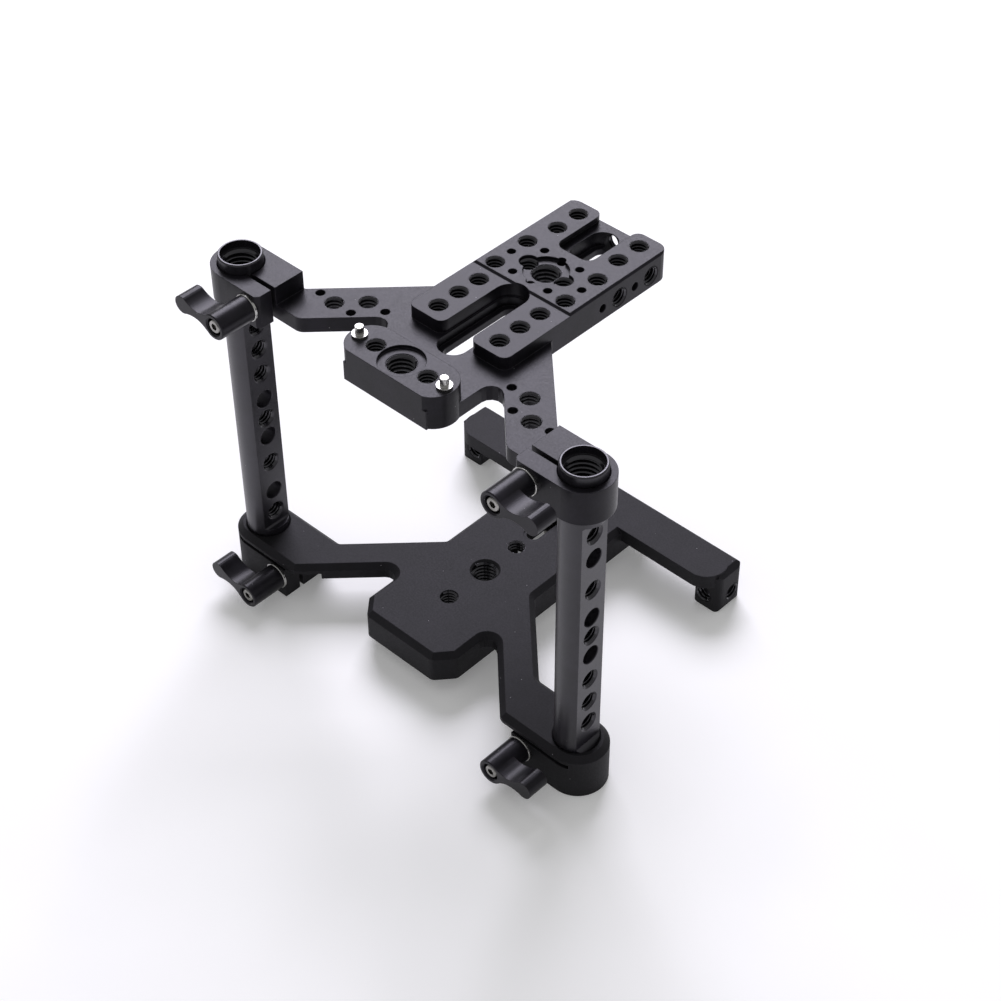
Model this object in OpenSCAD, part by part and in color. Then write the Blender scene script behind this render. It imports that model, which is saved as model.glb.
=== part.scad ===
// Camera cage: base plate, two clamped rods, top plate and four clamping levers.
// Millimetres. +X is the right side, -Y is the lens side, +Z is up.
// The origin is the mouth of the tripod thread, on the underside of the base plank.

/* [Rods] */
// Diameter of both rods
rod_d = 15; // [14.5:0.1:15.5]
// Distance between the two rod axes
rod_gap = 148.2; // [144:0.2:170]
// Distance across the two flats of a rod
rod_flats = 9.8; // [9.4:0.1:11]
// Height that a rod stands out of the top clamp
rod_over = 3.6; // [2:0.1:8]
// Radial running clearance of a rod in its clamps
rod_fit = 0.05; // [0.03:0.01:0.1]

/* [Opening] */
// Clear height between the base plate and the top plate
opening_h = 102.3; // [96:0.1:130]
// Width of the plank and of the top slab
slab_w = 42.4; // [42:0.2:46]

/* [Top plate] */
// Full height of the top clamps and of the front mount
clamp_h = 12.5; // [12:0.1:14]
// Depth of the platform below the clamp tops
platform_drop = 1.4; // [0.8:0.1:1.8]
// Depth of the front rails below the platform, also its edge bevel
rail_drop = 0.7; // [0.4:0.1:1]
// Thickness of the floor and of the diagonal arms
arm_t = 5.6; // [5:0.1:6.2]
// Y of the rear edge of the top slab
slab_rear = 66.3; // [64:0.5:80]
// Wall between a rod and the outside of its clamp
clamp_wall = 2.5; // [2.2:0.1:4]
// Width of the clamp slits
slit_w = 1.7; // [1.2:0.1:2]

/* [Base plate] */
// Thickness of the central plank
base_t = 11.6; // [11.4:0.1:13]
// Height of the feet below the plank
foot_h = 6; // [5:0.1:9]
// Bevel along the upper edges of the base plate
bevel = 2; // [1.2:0.1:2.2]
// Y of the rear edge of the base plate
base_rear = 66; // [65.5:0.5:80]
// Half width over the rear blocks
block_x = 62.9; // [62:0.1:70]
// Slide length of the camera screw
screw_slot = 27; // [20:1:28]

/* [Threads and pins] */
// Nominal diameter of the small accessory threads
quarter_d = 6.35; // [6:0.05:6.5]
// Nominal diameter of the large accessory threads
three_eighth_d = 9.525; // [9:0.025:10]
// Diameter of the locating pin holes
pin_d = 3; // [2.6:0.1:3.2]

/* [Levers] */
// Radius of a lever hub
hub_r = 4.6; // [4.4:0.05:4.9]
// Height of a lever hub above the clamp face
hub_h = 14.5; // [14:0.1:16]
// Distance from the hub axis to the lever tip
lever_r = 18.1; // [17:0.25:24]
// Width of the lever blade
blade_w = 8.1; // [6:0.1:9]
// Distance that a lever pulls out to be re-indexed
pull = 2.2; // [1.6:0.1:2.4]
// Rest angle of the upper levers above the horizontal
upper_angle = 5; // [-20:0.2:40]
// Rest angle of the lower levers above the horizontal
lower_angle = 11; // [-20:0.5:40]

/* [Hidden] */
$fn = 64;
e = 0.01;
black = [0.13, 0.13, 0.14];
steel = [0.75, 0.75, 0.77];

rod_x = rod_gap / 2;
rod_y = -34.9;
rod_r = rod_d / 2;
bore_r = rod_r + rod_fit;
rod_len = foot_h + base_t + opening_h + clamp_h + rod_over;
half = slab_w / 2;
quarter_r = quarter_d / 2;
three_r = three_eighth_d / 2;
pin_r = pin_d / 2;
lead = 0.14;
rod_lead = 0.48;
ring_r = 7.7;
thread_heights = [27.6, 37.2, 47.6, 67.2, 87.1, 110];
plain_heights = [58.7, 75.2, 100.4];
pin_x = 18.36;
pin_deep = 8;
pin_up = 3.7;
ring_h = 1.2;

top_z = base_t + opening_h;
platform_h = clamp_h - platform_drop;
rail_h = platform_h - rail_drop;
shoe_h = platform_h - 3.3;
barrel_r = rod_r + clamp_wall;
clamp_front = rod_y - barrel_r;
clamp_back = rod_y + barrel_r;
block_in = rod_x - 18.5;
slit_back = rod_y - 2.1;
slit_front = slit_back - slit_w;
upper_x = rod_x - 13.6;
upper_z = top_z + 0.5 * clamp_h + 0.4;
mount_y = -35.4;
mount_front = -43.3;
step_y = 18;
ledge_h = 2.3;

low_r = rod_r + clamp_wall + 0.4;
low_front = rod_y - low_r - 0.1;
low_back = low_front + 2 * low_r;
low_end = rod_x + low_r + 0.9;
low_in = rod_x - 19.1;
lower_x = rod_x - 15.1;
slot_top = base_t - 3.25;
slot_low = slot_top - 1.65;
lower_z = (slot_low - foot_h) / 2 + 1.75;
arm_low = base_t - arm_t;
block_front = base_rear - 13.3;
shelf_front = base_rear - 17.8;
screw_y = 40;
screw_back = screw_y + 12;
channel_h = base_t - 5.1;

function unit(v) = v / norm(v);
function xy(p) = [p[0], p[1]];
function near_turn(a) = a - 360 * round(a / 360);
function arc_points(c, r, a0, a1, n) =
    [for (i = [0:n]) c + r * [cos(a0 + (a1 - a0) * i / n), sin(a0 + (a1 - a0) * i / n)]];
function corner(a, b, c, r, n) =
    r <= 0 ? [b] :
    let(u = unit(a - b), w = unit(c - b), half_a = acos(u * w) / 2,
        cen = b + unit(u + w) * r / sin(half_a),
        s = b + u * r / tan(half_a) - cen, t = b + w * r / tan(half_a) - cen,
        a0 = atan2(s[1], s[0]), a1 = a0 + near_turn(atan2(t[1], t[0]) - a0))
    arc_points(cen, r, a0, a1, n);
function steps(r) = r < 5 ? 5 : 20;
function rounded(p, q = []) =
    [for (i = [0:len(p) - 1])
        each corner(xy(p[(i + len(p) - 1) % len(p)]), xy(p[i]), xy(p[(i + 1) % len(p)]), p[i][2],
            steps(len(q) > 0 ? q[i][2] : p[i][2]))];
function left(v) = [-v[1], v[0]];
function inset_one(a, b, c, r, d) =
    let(u = left(unit(b - a)), w = left(unit(c - b)), q = b + d * (u + w) / (1 + u * w))
    [q[0], q[1], cross(b - a, c - b) > 0 ? r - d : r + d];
function inset(p, d) =
    [for (i = [0:len(p) - 1])
        inset_one(xy(p[(i + len(p) - 1) % len(p)]), xy(p[i]), xy(p[(i + 1) % len(p)]), p[i][2], d)];
function both(p) = concat(p, [for (i = [len(p) - 1:-1:0]) [-p[i][0], p[i][1], p[i][2]]]);

// Straight-walled plate on a rounded outline.
module slab(p, z0, z1) {
    translate([0, 0, z0]) linear_extrude(z1 - z0) polygon(rounded(p));
}

// Prism with a YZ profile, running from x0 to x1.
module along_x(x0, x1, p) {
    translate([x0, 0, 0]) rotate([90, 0, 90]) linear_extrude(x1 - x0) polygon(p);
}

// Prism with an XZ profile, running from y0 to y1.
module along_y(y0, y1, p) {
    translate([0, y1, 0]) rotate([90, 0, 0]) linear_extrude(y1 - y0) polygon(p);
}

// Hole from z0 to z1 with a lead-in chamfer at both ends.
module hole(x, y, z0, z1, r, c = lead) {
    translate([x, y, z0 - e]) cylinder(h = z1 - z0 + 2 * e, r = r);
    translate([x, y, z1 - c]) cylinder(h = c + e, r1 = r, r2 = r + c + e);
    translate([x, y, z0 - e]) cylinder(h = c + e, r1 = r + c + e, r2 = r);
}

// Blind hole along local +Z from a face at z = 0, with a lead-in chamfer.
module blind(depth, r, c = lead) {
    translate([0, 0, -e]) cylinder(h = depth + e, r = r);
    translate([0, 0, -e]) cylinder(h = c + e, r1 = r + c + e, r2 = r);
}

// Elongated hole along Y between two end centres.
module stadium(y0, y1, r, z0, z1) {
    translate([0, y0, z0]) cylinder(h = z1 - z0, r = r);
    translate([0, y1, z0]) cylinder(h = z1 - z0, r = r);
    translate([-r, y0, z0]) cube([2 * r, y1 - y0, z1 - z0]);
}

// Twelve-pointed section of the spline between stud and lever.
module spline(size, z0, z1) {
    translate([0, 0, z0]) linear_extrude(z1 - z0) union() {
        square(size, center = true);
        rotate(30) square(size, center = true);
        rotate(60) square(size, center = true);
    }
}

// Places a lever part: local +Z leaves the clamp, local +X is the blade.
module at_lever(side, x, z, face, angle) {
    translate([side * x, face, z]) rotate([90, 0, 0])
        rotate([0, 0, side > 0 ? angle : 180 - angle]) children();
}

arm_front = 8.4 + (half - 21.2);
arm_back = 30.4;

module top_floor() {
    slab(both([
        [half, mount_y + 1.4, 0], [half, arm_front - half, 4],
        [arm_front - slit_back, slit_back, 4], [block_in + 4, slit_back, 0],
        [block_in + 4, clamp_back, 0], [arm_back - clamp_back, clamp_back, 2],
        [half, arm_back - half, 2], [half, slab_rear, 4]]), 0, arm_t);
}

module top_slab() {
    difference() {
        slab(both([[half, -12, 3], [half, slab_rear, 4]]), 0, platform_h);
        along_x(-half - 1, half + 1, [[-14, rail_h], [step_y, rail_h],
            [step_y + rail_drop, platform_h], [step_y + rail_drop, platform_h + 1], [-14, platform_h + 1]]);
        for (s = [-1, 1])
            along_y(step_y - 5, slab_rear + 1, [[s * (half - rail_drop), platform_h + e],
                [s * (half + 0.2), rail_h - 0.2], [s * (half + 0.2), platform_h + 1],
                [s * (half - rail_drop), platform_h + 1]]);
        stadium(-20, step_y + 1.3 - 6, 6, arm_t, clamp_h);
        for (s = [-1, 1]) {
            difference() {
                translate([s > 0 ? 5 : -9, -13, arm_t]) cube([4, 4, clamp_h]);
                translate([s * 9, -9, 0]) cylinder(h = 2 * clamp_h, r = 3);
            }
            difference() {
                translate([s > 0 ? 6 : -10.45, slab_rear - 3, shoe_h]) cube([4.45, 4, clamp_h]);
                translate([s * 10.45, slab_rear - 3, 0]) cylinder(h = 2 * clamp_h, r = 3);
            }
        }
        slab(both([[7.45, slab_rear - 24, 3.5], [7.45, slab_rear + 2, 0]]), platform_h - 2 - e, clamp_h);
        slab(both([[8.55, slab_rear - 24, 4.5], [8.55, slab_rear + 2, 0]]), shoe_h, platform_h - 2);
    }
}

module front_mount() {
    intersection() {
        union() {
            for (s = [-1, 1])
                translate([s * 13.3, mount_y, 0]) cylinder(h = clamp_h, r = 8.5);
            translate([-13.3, mount_y - 8.5, 0]) cube([26.6, 17, clamp_h]);
        }
        translate([-30, mount_front, -e]) cube([60, 30, clamp_h + 2 * e]);
    }
    translate([-18, mount_front, 0]) cube([36, 10, 7.1]);
}

module top_clamp(s) {
    translate([s * rod_x, rod_y, 0]) cylinder(h = clamp_h, r = barrel_r);
    translate([s > 0 ? block_in : -rod_x, clamp_front, 0])
        cube([rod_x - block_in, 2 * barrel_r, clamp_h]);
}

module top_clamp_cut(s) {
    translate([s * rod_x, rod_y, 0]) {
        translate([0, 0, -e]) cylinder(h = clamp_h + 2 * e, r = bore_r);
        translate([0, 0, clamp_h - 0.4]) cylinder(h = 0.4 + e, r1 = bore_r, r2 = bore_r + 0.4 + e);
        translate([0, 0, -e]) cylinder(h = 0.4 + e, r1 = bore_r + 0.4 + e, r2 = bore_r);
    }
    translate([s > 0 ? block_in - 1 : -rod_x, slit_front, -1])
        cube([rod_x - block_in + 1, slit_w, clamp_h + 2]);
    translate([s * block_in, clamp_front, -1]) rotate([0, 0, 45])
        cube([1.84, 1.84, 2 * clamp_h + 4], center = true);
    translate([s * upper_x, clamp_front, upper_z - top_z]) rotate([-90, 0, 0]) {
        translate([0, 0, -e]) cylinder(h = slit_front - clamp_front + 2 * e, r = 2.8);
        translate([0, 0, slit_back - clamp_front - e]) cylinder(h = 9.6, r = 2.55);
    }
}

// Round locating recess with the threaded hole in its floor, below a top face at height h.
module ring_recess(y, h) {
    translate([0, y, h - ring_h]) cylinder(h = 3, r = ring_r);
    hole(0, y, 0, h - ring_h, three_r, 0.25);
}

module top_holes() {
    for (s = [-1, 1]) {
        for (y = [-5.9, 3.36, 12.62]) hole(s * 13.27, y, 0, rail_h, quarter_r);
        for (y = [22.28, 37.72]) hole(s * 15.27, y, 0, platform_h, quarter_r);
        for (y = [slab_rear - 16.22, slab_rear - 5.84]) hole(s * 13.28, y, 0, platform_h, quarter_r);
        hole(s * 7.6, 30, 0, platform_h, quarter_r);
        hole(s * 35.25, -15.8, 0, arm_t, quarter_r);
        hole(s * 43, -23.5, 0, arm_t, quarter_r);
        hole(s * 11.2, mount_y, 0, clamp_h, quarter_r);
        for (p = [[27.6, -15.7], [35.3, -23.5], [50.1, -22.9]])
            hole(s * p[0], p[1], 0, arm_t, pin_r, 0.15);
        for (p = [[7.65, 22.35], [7.65, 37.65], [15.3, 30]])
            translate([s * p[0], p[1], platform_h - 8]) cylinder(h = 9, r = pin_r);
        translate([s * pin_x, mount_y, clamp_h - pin_deep]) cylinder(h = pin_deep + 1, r = pin_r);
        for (y = [slab_rear - 24.4, slab_rear - 8.9])
            translate([s * half, s > 0 ? y : y - 0.6, s > 0 ? 4.8 : 4.4])
                rotate([0, -s * 90, 0]) blind(6.5, quarter_r, rod_lead);
        for (y = [33.7, slab_rear - 16.8])
            translate([s * half, y, 4.8]) rotate([0, -s * 90, 0]) blind(5, pin_r, 0.15);
    }
    for (y = [22.5, 37.5]) translate([0, y, platform_h - 8]) cylinder(h = 9, r = pin_r);
    ring_recess(30, platform_h);
    ring_recess(mount_y, clamp_h);
    stadium(-12.8, step_y + 1.3 - 6, 5.3, ledge_h, clamp_h);
    stadium(-12.8, step_y + 1.3 - 6, 3.4, -1, clamp_h);
    stadium(slab_rear - 17, slab_rear - 8.5, 5.3, ledge_h, shoe_h + 1);
    stadium(slab_rear - 17, slab_rear - 8.5, 3.4, -1, clamp_h);
    // Threaded hole through the rear wall, into the slot.
    translate([0, slab_rear, 4.2]) rotate([90, 0, 0]) blind(6, quarter_r, 0.25);
}

module top_plate() {
    color(black) translate([0, 0, top_z]) difference() {
        union() {
            top_floor();
            top_slab();
            front_mount();
            top_clamp(1);
            top_clamp(-1);
        }
        top_holes();
        top_clamp_cut(1);
        top_clamp_cut(-1);
    }
}

// Rod on local Z, standing on its lower end, flats to the left and right.
module rod() {
    f = rod_flats / 2;
    color(black) difference() {
        union() {
            translate([0, 0, 0.4]) cylinder(h = rod_len - 0.8, r = rod_r, $fn = 96);
            cylinder(h = 0.4, r1 = rod_r - 0.4, r2 = rod_r, $fn = 96);
            translate([0, 0, rod_len - 0.4]) cylinder(h = 0.4, r1 = rod_r, r2 = rod_r - 0.4, $fn = 96);
        }
        for (s = [-1, 1])
            along_y(-rod_r, rod_r, [[s * rod_r, 15.3], [s * f, 18.3], [s * f, rod_len - 20.6],
                [s * (f + 0.6), rod_len - 20], [s * (rod_r + 1), rod_len - 20], [s * (rod_r + 1), 15.3]]);
        for (z = [-e, rod_len - 3]) translate([0, 0, z]) cylinder(h = 3 + e, r = rod_r - 0.85);
        for (z = [-e, rod_len - 16]) translate([0, 0, z]) cylinder(h = 16 + e, r = rod_r - 1.5);
        for (h = thread_heights / 136)
            translate([-f, 0, h * rod_len]) rotate([0, 90, 0]) hole(0, 0, 0, 2 * f, quarter_r, rod_lead);
        for (h = plain_heights / 136)
            translate([-f, 0, h * rod_len]) rotate([0, 90, 0]) hole(0, 0, 0, 2 * f, 3.4, 0.2);
    }
}

module right_rod() {
    translate([rod_x, rod_y, -foot_h]) rod();
}

module left_rod() {
    translate([-rod_x, rod_y, rod_len - foot_h]) rotate([180, 0, 0]) rod();
}

base_front = 4.6 + (half - 21.2);
base_back = 23.7;

low_cx = low_end - low_r;
low_cy = low_front + low_r;
base_outline = both([
    [half - 5.7, low_front + 2.8, 2.5], [half, low_front + 9.4, 2.5],
    [half, base_front - half, 3.5], [base_front - low_front, low_front, 4],
    [low_cx, low_front, 0], [low_cx, low_back, 0],
    [base_back - low_back, low_back, 2.5], [half, base_back - half, 2.5],
    [half, block_front, 3], [block_x, block_front, 2.6], [block_x, base_rear, 3.2]]);

// Wedge that bevels the upper edge of a straight side running from a to b.
module edge_wedge(a, b, over_a, over_b) {
    u = unit(b - a);
    translate([a[0], a[1], 0]) rotate([0, 0, atan2(u[1], u[0])])
        along_x(-over_a, norm(b - a) + over_b, [[-0.5, base_t - bevel - 0.5],
            [bevel + 0.5, base_t + 0.5], [-0.5, base_t + 0.5]]);
}

// Bevel cuts along the straight sides of an outline and in its inner corners.
module edge_cuts(p) {
    k = len(p);
    for (i = [0:k - 1]) {
        z = xy(p[(i + k - 1) % k]);
        a = xy(p[i]);
        b = xy(p[(i + 1) % k]);
        c = xy(p[(i + 2) % k]);
        in_a = cross(a - z, b - a) < 0;
        in_b = cross(b - a, c - b) < 0;
        ta = p[i][2] / tan(acos(unit(z - a) * unit(b - a)) / 2);
        tb = p[(i + 1) % k][2] / tan(acos(unit(a - b) * unit(c - b)) / 2);
        if (abs(a[0]) < low_cx - 1 || abs(b[0]) < low_cx - 1)
            edge_wedge(a, b, in_a ? -ta : (abs(a[0]) > low_cx - 1 && a[1] < 0 ? 0.4 : bevel + 1),
                in_b ? -tb : (abs(b[0]) > low_cx - 1 && b[1] < 0 ? 0.4 : bevel + 1));
        if (in_a) {
            half_a = acos(unit(z - a) * unit(b - a)) / 2;
            cen = a + unit(unit(z - a) + unit(b - a)) * p[i][2] / sin(half_a);
            translate([cen[0], cen[1], base_t - bevel - 0.5])
                cylinder(h = bevel + 1, r1 = p[i][2] - 0.5, r2 = p[i][2] + bevel + 0.5);
        }
    }
}

// Ring that bevels the round end of a lower clamp.
module barrel_bevel(s) {
    intersection() {
        translate([s * low_cx, low_cy, 0]) rotate_extrude()
            polygon([[low_r - bevel - 0.51, base_t + 0.5], [low_r + 0.49, base_t - bevel - 0.5],
                [low_r + 2, base_t - bevel - 0.5], [low_r + 2, base_t + 0.5]]);
        translate([s > 0 ? low_cx : -low_cx - 20, low_cy - 20, 0]) cube([20, 40, 30]);
    }
}

module base_outline_plate() {
    slab(base_outline, arm_low, base_t);
    for (s = [-1, 1]) translate([s * low_cx, low_cy, -foot_h]) cylinder(h = foot_h + base_t, r = low_r);
}

module low_foot(s) {
    translate([s > 0 ? low_in : -low_cx, low_front, -foot_h])
        cube([low_cx - low_in, 2 * low_r, foot_h + arm_low + 1]);
}

module rear_foot(s) {
    x0 = block_x - 10.7;
    intersection() {
        slab(s > 0 ? [[x0, block_front, 0.6], [block_x, block_front, 2.6],
                [block_x, base_rear, 3.2], [x0, base_rear, 0.6]] :
                [[-x0, base_rear, 0.6], [-block_x, base_rear, 3.2],
                [-block_x, block_front, 2.6], [-x0, block_front, 0.6]], -foot_h, arm_low + 1);
        along_y(block_front - 1, base_rear + 1, [for (v = rounded([[x0 - e, -foot_h, 1.6],
            [block_x + e, -foot_h, 1.6], [block_x + e, base_t, 0], [x0 - e, base_t, 0]])) [s * v[0], v[1]]]);
    }
}

module shelf() {
    for (s = [-1, 1])
        translate([s * (block_x - 9.4), shelf_front + 8, arm_low]) cylinder(h = arm_t, r = 8);
    translate([-block_x + 9.4, shelf_front, arm_low]) cube([2 * block_x - 18.8, 14, arm_t]);
}

module base_cut(s) {
    translate([s * rod_x, rod_y, 0]) {
        translate([0, 0, -foot_h - e]) cylinder(h = foot_h + base_t + 2 * e, r = bore_r);
        translate([0, 0, base_t - 0.55]) cylinder(h = 0.55 + e, r1 = bore_r, r2 = bore_r + 0.55 + e);
        translate([0, 0, -foot_h - e]) cylinder(h = 0.4 + e, r1 = bore_r + 0.4 + e, r2 = bore_r);
    }
    sx = s > 0 ? 1 : -1;
    mirror([sx > 0 ? 0 : 1, 0, 0]) {
        translate([low_in - 12, low_front - 1, slot_low])
            cube([rod_x + 5.2 - low_in + 12, slit_back - low_front + 1, slot_top - slot_low]);
        translate([low_in - 12, low_front - 1, arm_low - 1])
            cube([12, slit_back - low_front + 1, slot_top - arm_low + 1]);
        translate([low_in - 1, slit_front, -foot_h - 1])
            cube([rod_x - low_in + 1, slit_w, foot_h + 1 + slot_low + 0.5]);
        translate([lower_x, low_front, lower_z]) rotate([-90, 0, 0]) {
            translate([0, 0, -e]) cylinder(h = slit_front - low_front + 2 * e, r = 2.8);
            translate([0, 0, slit_back - low_front - e]) cylinder(h = 9.2, r = 2.55);
        }
        translate([block_x - 6.9, block_front, -0.2]) rotate([-90, 0, 0]) blind(20, quarter_r, rod_lead);
        translate([block_x, base_rear - 5.6, -0.2]) rotate([0, -90, 0]) blind(14, quarter_r, rod_lead);
    }
}

module base_plate() {
    color(black) difference() {
        union() {
            difference() {
                base_outline_plate();
                edge_cuts(base_outline);
                barrel_bevel(1);
                barrel_bevel(-1);
            }
            shelf();
            slab(both([[half - 5.7, low_front + 2.8, 2.5], [half, low_front + 9.4, 2.5], [half, base_rear, 3]]), 0, arm_low + 1);
            for (s = [-1, 1]) {
                low_foot(s);
                rear_foot(s);
            }
        }
        base_cut(1);
        base_cut(-1);
        translate([0, 0, -e]) cylinder(h = base_t + 2 * e, r = three_r);
        translate([0, 0, base_t - 0.7]) cylinder(h = 0.7 + e, r1 = three_r, r2 = three_r + 0.7 + e);
        for (y = [-18, 16]) hole(0, y, 0, base_t, quarter_r);
        stadium(screw_back - screw_slot, screw_back, 2.5, -1, base_t + 1);
        stadium(screw_back - screw_slot, screw_back + 5, 3.6, base_t - 0.4, base_t + 1);
        stadium(screw_back - screw_slot, screw_back + 5, 6.55, -1, channel_h);
        translate([0, screw_back + 5, -1]) cylinder(h = base_t + 2, r = 3.5);
    }
}

module front_locating_pins() {
    color(steel) for (s = [-1, 1]) translate([s * pin_x, mount_y, top_z + clamp_h]) {
        translate([0, 0, -pin_deep]) cylinder(h = pin_deep + pin_up - 0.2, r = pin_r);
        translate([0, 0, pin_up - 0.2]) cylinder(h = 0.2, r1 = pin_r, r2 = pin_r - 0.2);
        cylinder(h = 0.9, r = 2.6);
    }
}

// Half thickness of a lever's blade at a distance x from its axis.
function half_width(x) = 1.5 + (x < 8.2 ? 0.064 : 0.047) * (x - 8.2) * (x - 8.2);

// Clamping lever on local Z with its blade along local X.
module lever() {
    bulb = 3.2;
    bx = lever_r - bulb;
    blade_z = hub_h - blade_w;
    up = [for (i = [0:16]) let(x = 3 + (bx - 2 - 3) * i / 16) [x, half_width(x)]];
    tip = [for (a = [125:-12.5:-125]) [bx + bulb * cos(a), bulb * sin(a)]];
    color(black) difference() {
        union() {
            translate([0, 0, 0.85]) cylinder(h = hub_h - 0.85 - 0.3, r = hub_r);
            translate([0, 0, hub_h - 0.3]) cylinder(h = 0.3, r1 = hub_r, r2 = hub_r - 0.3);
            translate([0, 0, blade_z]) linear_extrude(blade_w)
                polygon(concat(up, tip, [for (i = [len(up) - 1:-1:0]) [up[i][0], -up[i][1]]]));
        }
        translate([0, 0, 0.5]) cylinder(h = 0.35 + pull + 0.1, r = 3.3);
        spline(4.5, 0.85 + pull, 3 + pull);
        translate([0, 0, 2.5]) cylinder(h = hub_h, r = 1.8);
        translate([0, 0, 4.2 + pull]) cylinder(h = hub_h, r = 3);
        translate([0, 0, hub_h - 0.5]) cylinder(h = 0.5 + e, r1 = 3, r2 = 3.5 + e);
    }
}

module clamp_stud() {
    color(steel) difference() {
        union() {
            translate([0, 0, -17.2]) cylinder(h = 17.2 + 1.0 + pull, r = 2.5);
            spline(4.4, 0.95 + pull, 2.8 + pull);
        }
        translate([0, 0, -5]) cylinder(h = 12, r = 1.5);
    }
}

module lever_screw() {
    color(steel) difference() {
        union() {
            translate([0, 0, -4.5]) cylinder(h = hub_h - 3.1 + 4.5, r = 1.5);
            translate([0, 0, hub_h - 3.1]) cylinder(h = 2.4, r = 2.4);
            translate([0, 0, hub_h - 0.7]) cylinder(h = 0.3, r1 = 2.4, r2 = 2.1);
        }
        translate([0, 0, hub_h - 2.0]) cylinder(h = 2, r = 1.3, $fn = 6);
    }
}

// Coil spring at its pressed length, seated under the screw head.
module lever_spring() {
    z1 = hub_h - 3.1;
    color(steel) for (i = [0:4])
        translate([0, 0, z1 - 0.25 - i * 0.5]) rotate_extrude() translate([2.1, 0]) circle(r = 0.25, $fn = 12);
}

module clamp_washer() {
    color(steel) difference() {
        union() {
            cylinder(h = 0.65, r = 4.9);
            translate([0, 0, 0.65]) cylinder(h = 0.15, r1 = 4.9, r2 = 4.75);
        }
        translate([0, 0, -1]) cylinder(h = 3, r = 2.8);
    }
}

module camera_screw() {
    color(steel) translate([0, screw_y, 0]) difference() {
        union() {
            translate([0, 0, channel_h - 5.7]) cylinder(h = 4.1, r = 6.25);
            translate([0, 0, channel_h - 1.7]) cylinder(h = 7, r = 2.4);
            translate([0, 0, base_t + 0.05]) cylinder(h = 4.9, r = quarter_r);
            translate([0, 0, base_t + 4.95]) cylinder(h = 0.5, r1 = quarter_r, r2 = quarter_r - 0.5);
        }
        translate([-7, -0.6, channel_h - 6]) cube([14, 1.2, 1.8]);
        translate([0, 0, channel_h - 6]) cylinder(h = 3, r = 2.9, $fn = 6);
    }
}

module camera_screw_washer() {
    color(steel) translate([0, screw_y, channel_h - 1.55]) difference() {
        cylinder(h = 0.8, r = 6);
        translate([0, 0, -1]) cylinder(h = 3, r = 2.5);
    }
}

base_plate();
top_plate();
right_rod();
left_rod();
front_locating_pins();
at_lever(1, upper_x, upper_z, clamp_front, upper_angle) lever();  // upper_right_lever
at_lever(1, upper_x, upper_z, clamp_front, upper_angle) clamp_stud();  // upper_right_clamp_stud
at_lever(1, upper_x, upper_z, clamp_front, upper_angle) lever_spring();  // upper_right_lever_spring
at_lever(1, upper_x, upper_z, clamp_front, upper_angle) lever_screw();  // upper_right_lever_screw
at_lever(1, upper_x, upper_z, clamp_front, upper_angle) clamp_washer();  // upper_right_clamp_washer
at_lever(-1, upper_x, upper_z, clamp_front, upper_angle) lever();  // upper_left_lever
at_lever(-1, upper_x, upper_z, clamp_front, upper_angle) clamp_stud();  // upper_left_clamp_stud
at_lever(-1, upper_x, upper_z, clamp_front, upper_angle) lever_spring();  // upper_left_lever_spring
at_lever(-1, upper_x, upper_z, clamp_front, upper_angle) lever_screw();  // upper_left_lever_screw
at_lever(-1, upper_x, upper_z, clamp_front, upper_angle) clamp_washer();  // upper_left_clamp_washer
at_lever(1, lower_x, lower_z, low_front, lower_angle) lever();  // lower_right_lever
at_lever(1, lower_x, lower_z, low_front, lower_angle) clamp_stud();  // lower_right_clamp_stud
at_lever(1, lower_x, lower_z, low_front, lower_angle) lever_spring();  // lower_right_lever_spring
at_lever(1, lower_x, lower_z, low_front, lower_angle) lever_screw();  // lower_right_lever_screw
at_lever(1, lower_x, lower_z, low_front, lower_angle) clamp_washer();  // lower_right_clamp_washer
at_lever(-1, lower_x, lower_z, low_front, lower_angle) lever();  // lower_left_lever
at_lever(-1, lower_x, lower_z, low_front, lower_angle) clamp_stud();  // lower_left_clamp_stud
at_lever(-1, lower_x, lower_z, low_front, lower_angle) lever_spring();  // lower_left_lever_spring
at_lever(-1, lower_x, lower_z, low_front, lower_angle) lever_screw();  // lower_left_lever_screw
at_lever(-1, lower_x, lower_z, low_front, lower_angle) clamp_washer();  // lower_left_clamp_washer
camera_screw();
camera_screw_washer();
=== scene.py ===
"""Looks of the articulated camera cage: finishes, screw threads, springs and the studio.

Lengths that end in _mm, and the numbers in the tables of holes, are millimetres in the cage's own frame.
Everything handed to Blender is in metres.
"""

import logging
import math
from dataclasses import dataclass, field
from enum import Enum

import bpy
from mathutils import Matrix, Vector


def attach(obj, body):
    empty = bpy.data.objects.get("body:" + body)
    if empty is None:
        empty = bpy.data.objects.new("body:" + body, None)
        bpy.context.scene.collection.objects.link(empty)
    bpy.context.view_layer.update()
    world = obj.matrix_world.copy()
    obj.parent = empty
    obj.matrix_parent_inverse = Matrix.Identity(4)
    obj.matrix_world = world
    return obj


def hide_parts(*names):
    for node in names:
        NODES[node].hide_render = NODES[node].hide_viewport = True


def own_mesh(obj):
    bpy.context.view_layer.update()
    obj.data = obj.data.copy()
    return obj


logging.basicConfig(level=logging.INFO, format="%(message)s")
log = logging.getLogger("cage")

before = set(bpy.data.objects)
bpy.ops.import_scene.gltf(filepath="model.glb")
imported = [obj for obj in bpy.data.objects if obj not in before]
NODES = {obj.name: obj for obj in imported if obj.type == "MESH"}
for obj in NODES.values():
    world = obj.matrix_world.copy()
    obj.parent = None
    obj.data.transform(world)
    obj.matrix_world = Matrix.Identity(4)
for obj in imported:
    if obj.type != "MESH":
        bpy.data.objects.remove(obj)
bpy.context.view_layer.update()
MM = 0.001


# Small helpers


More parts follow.
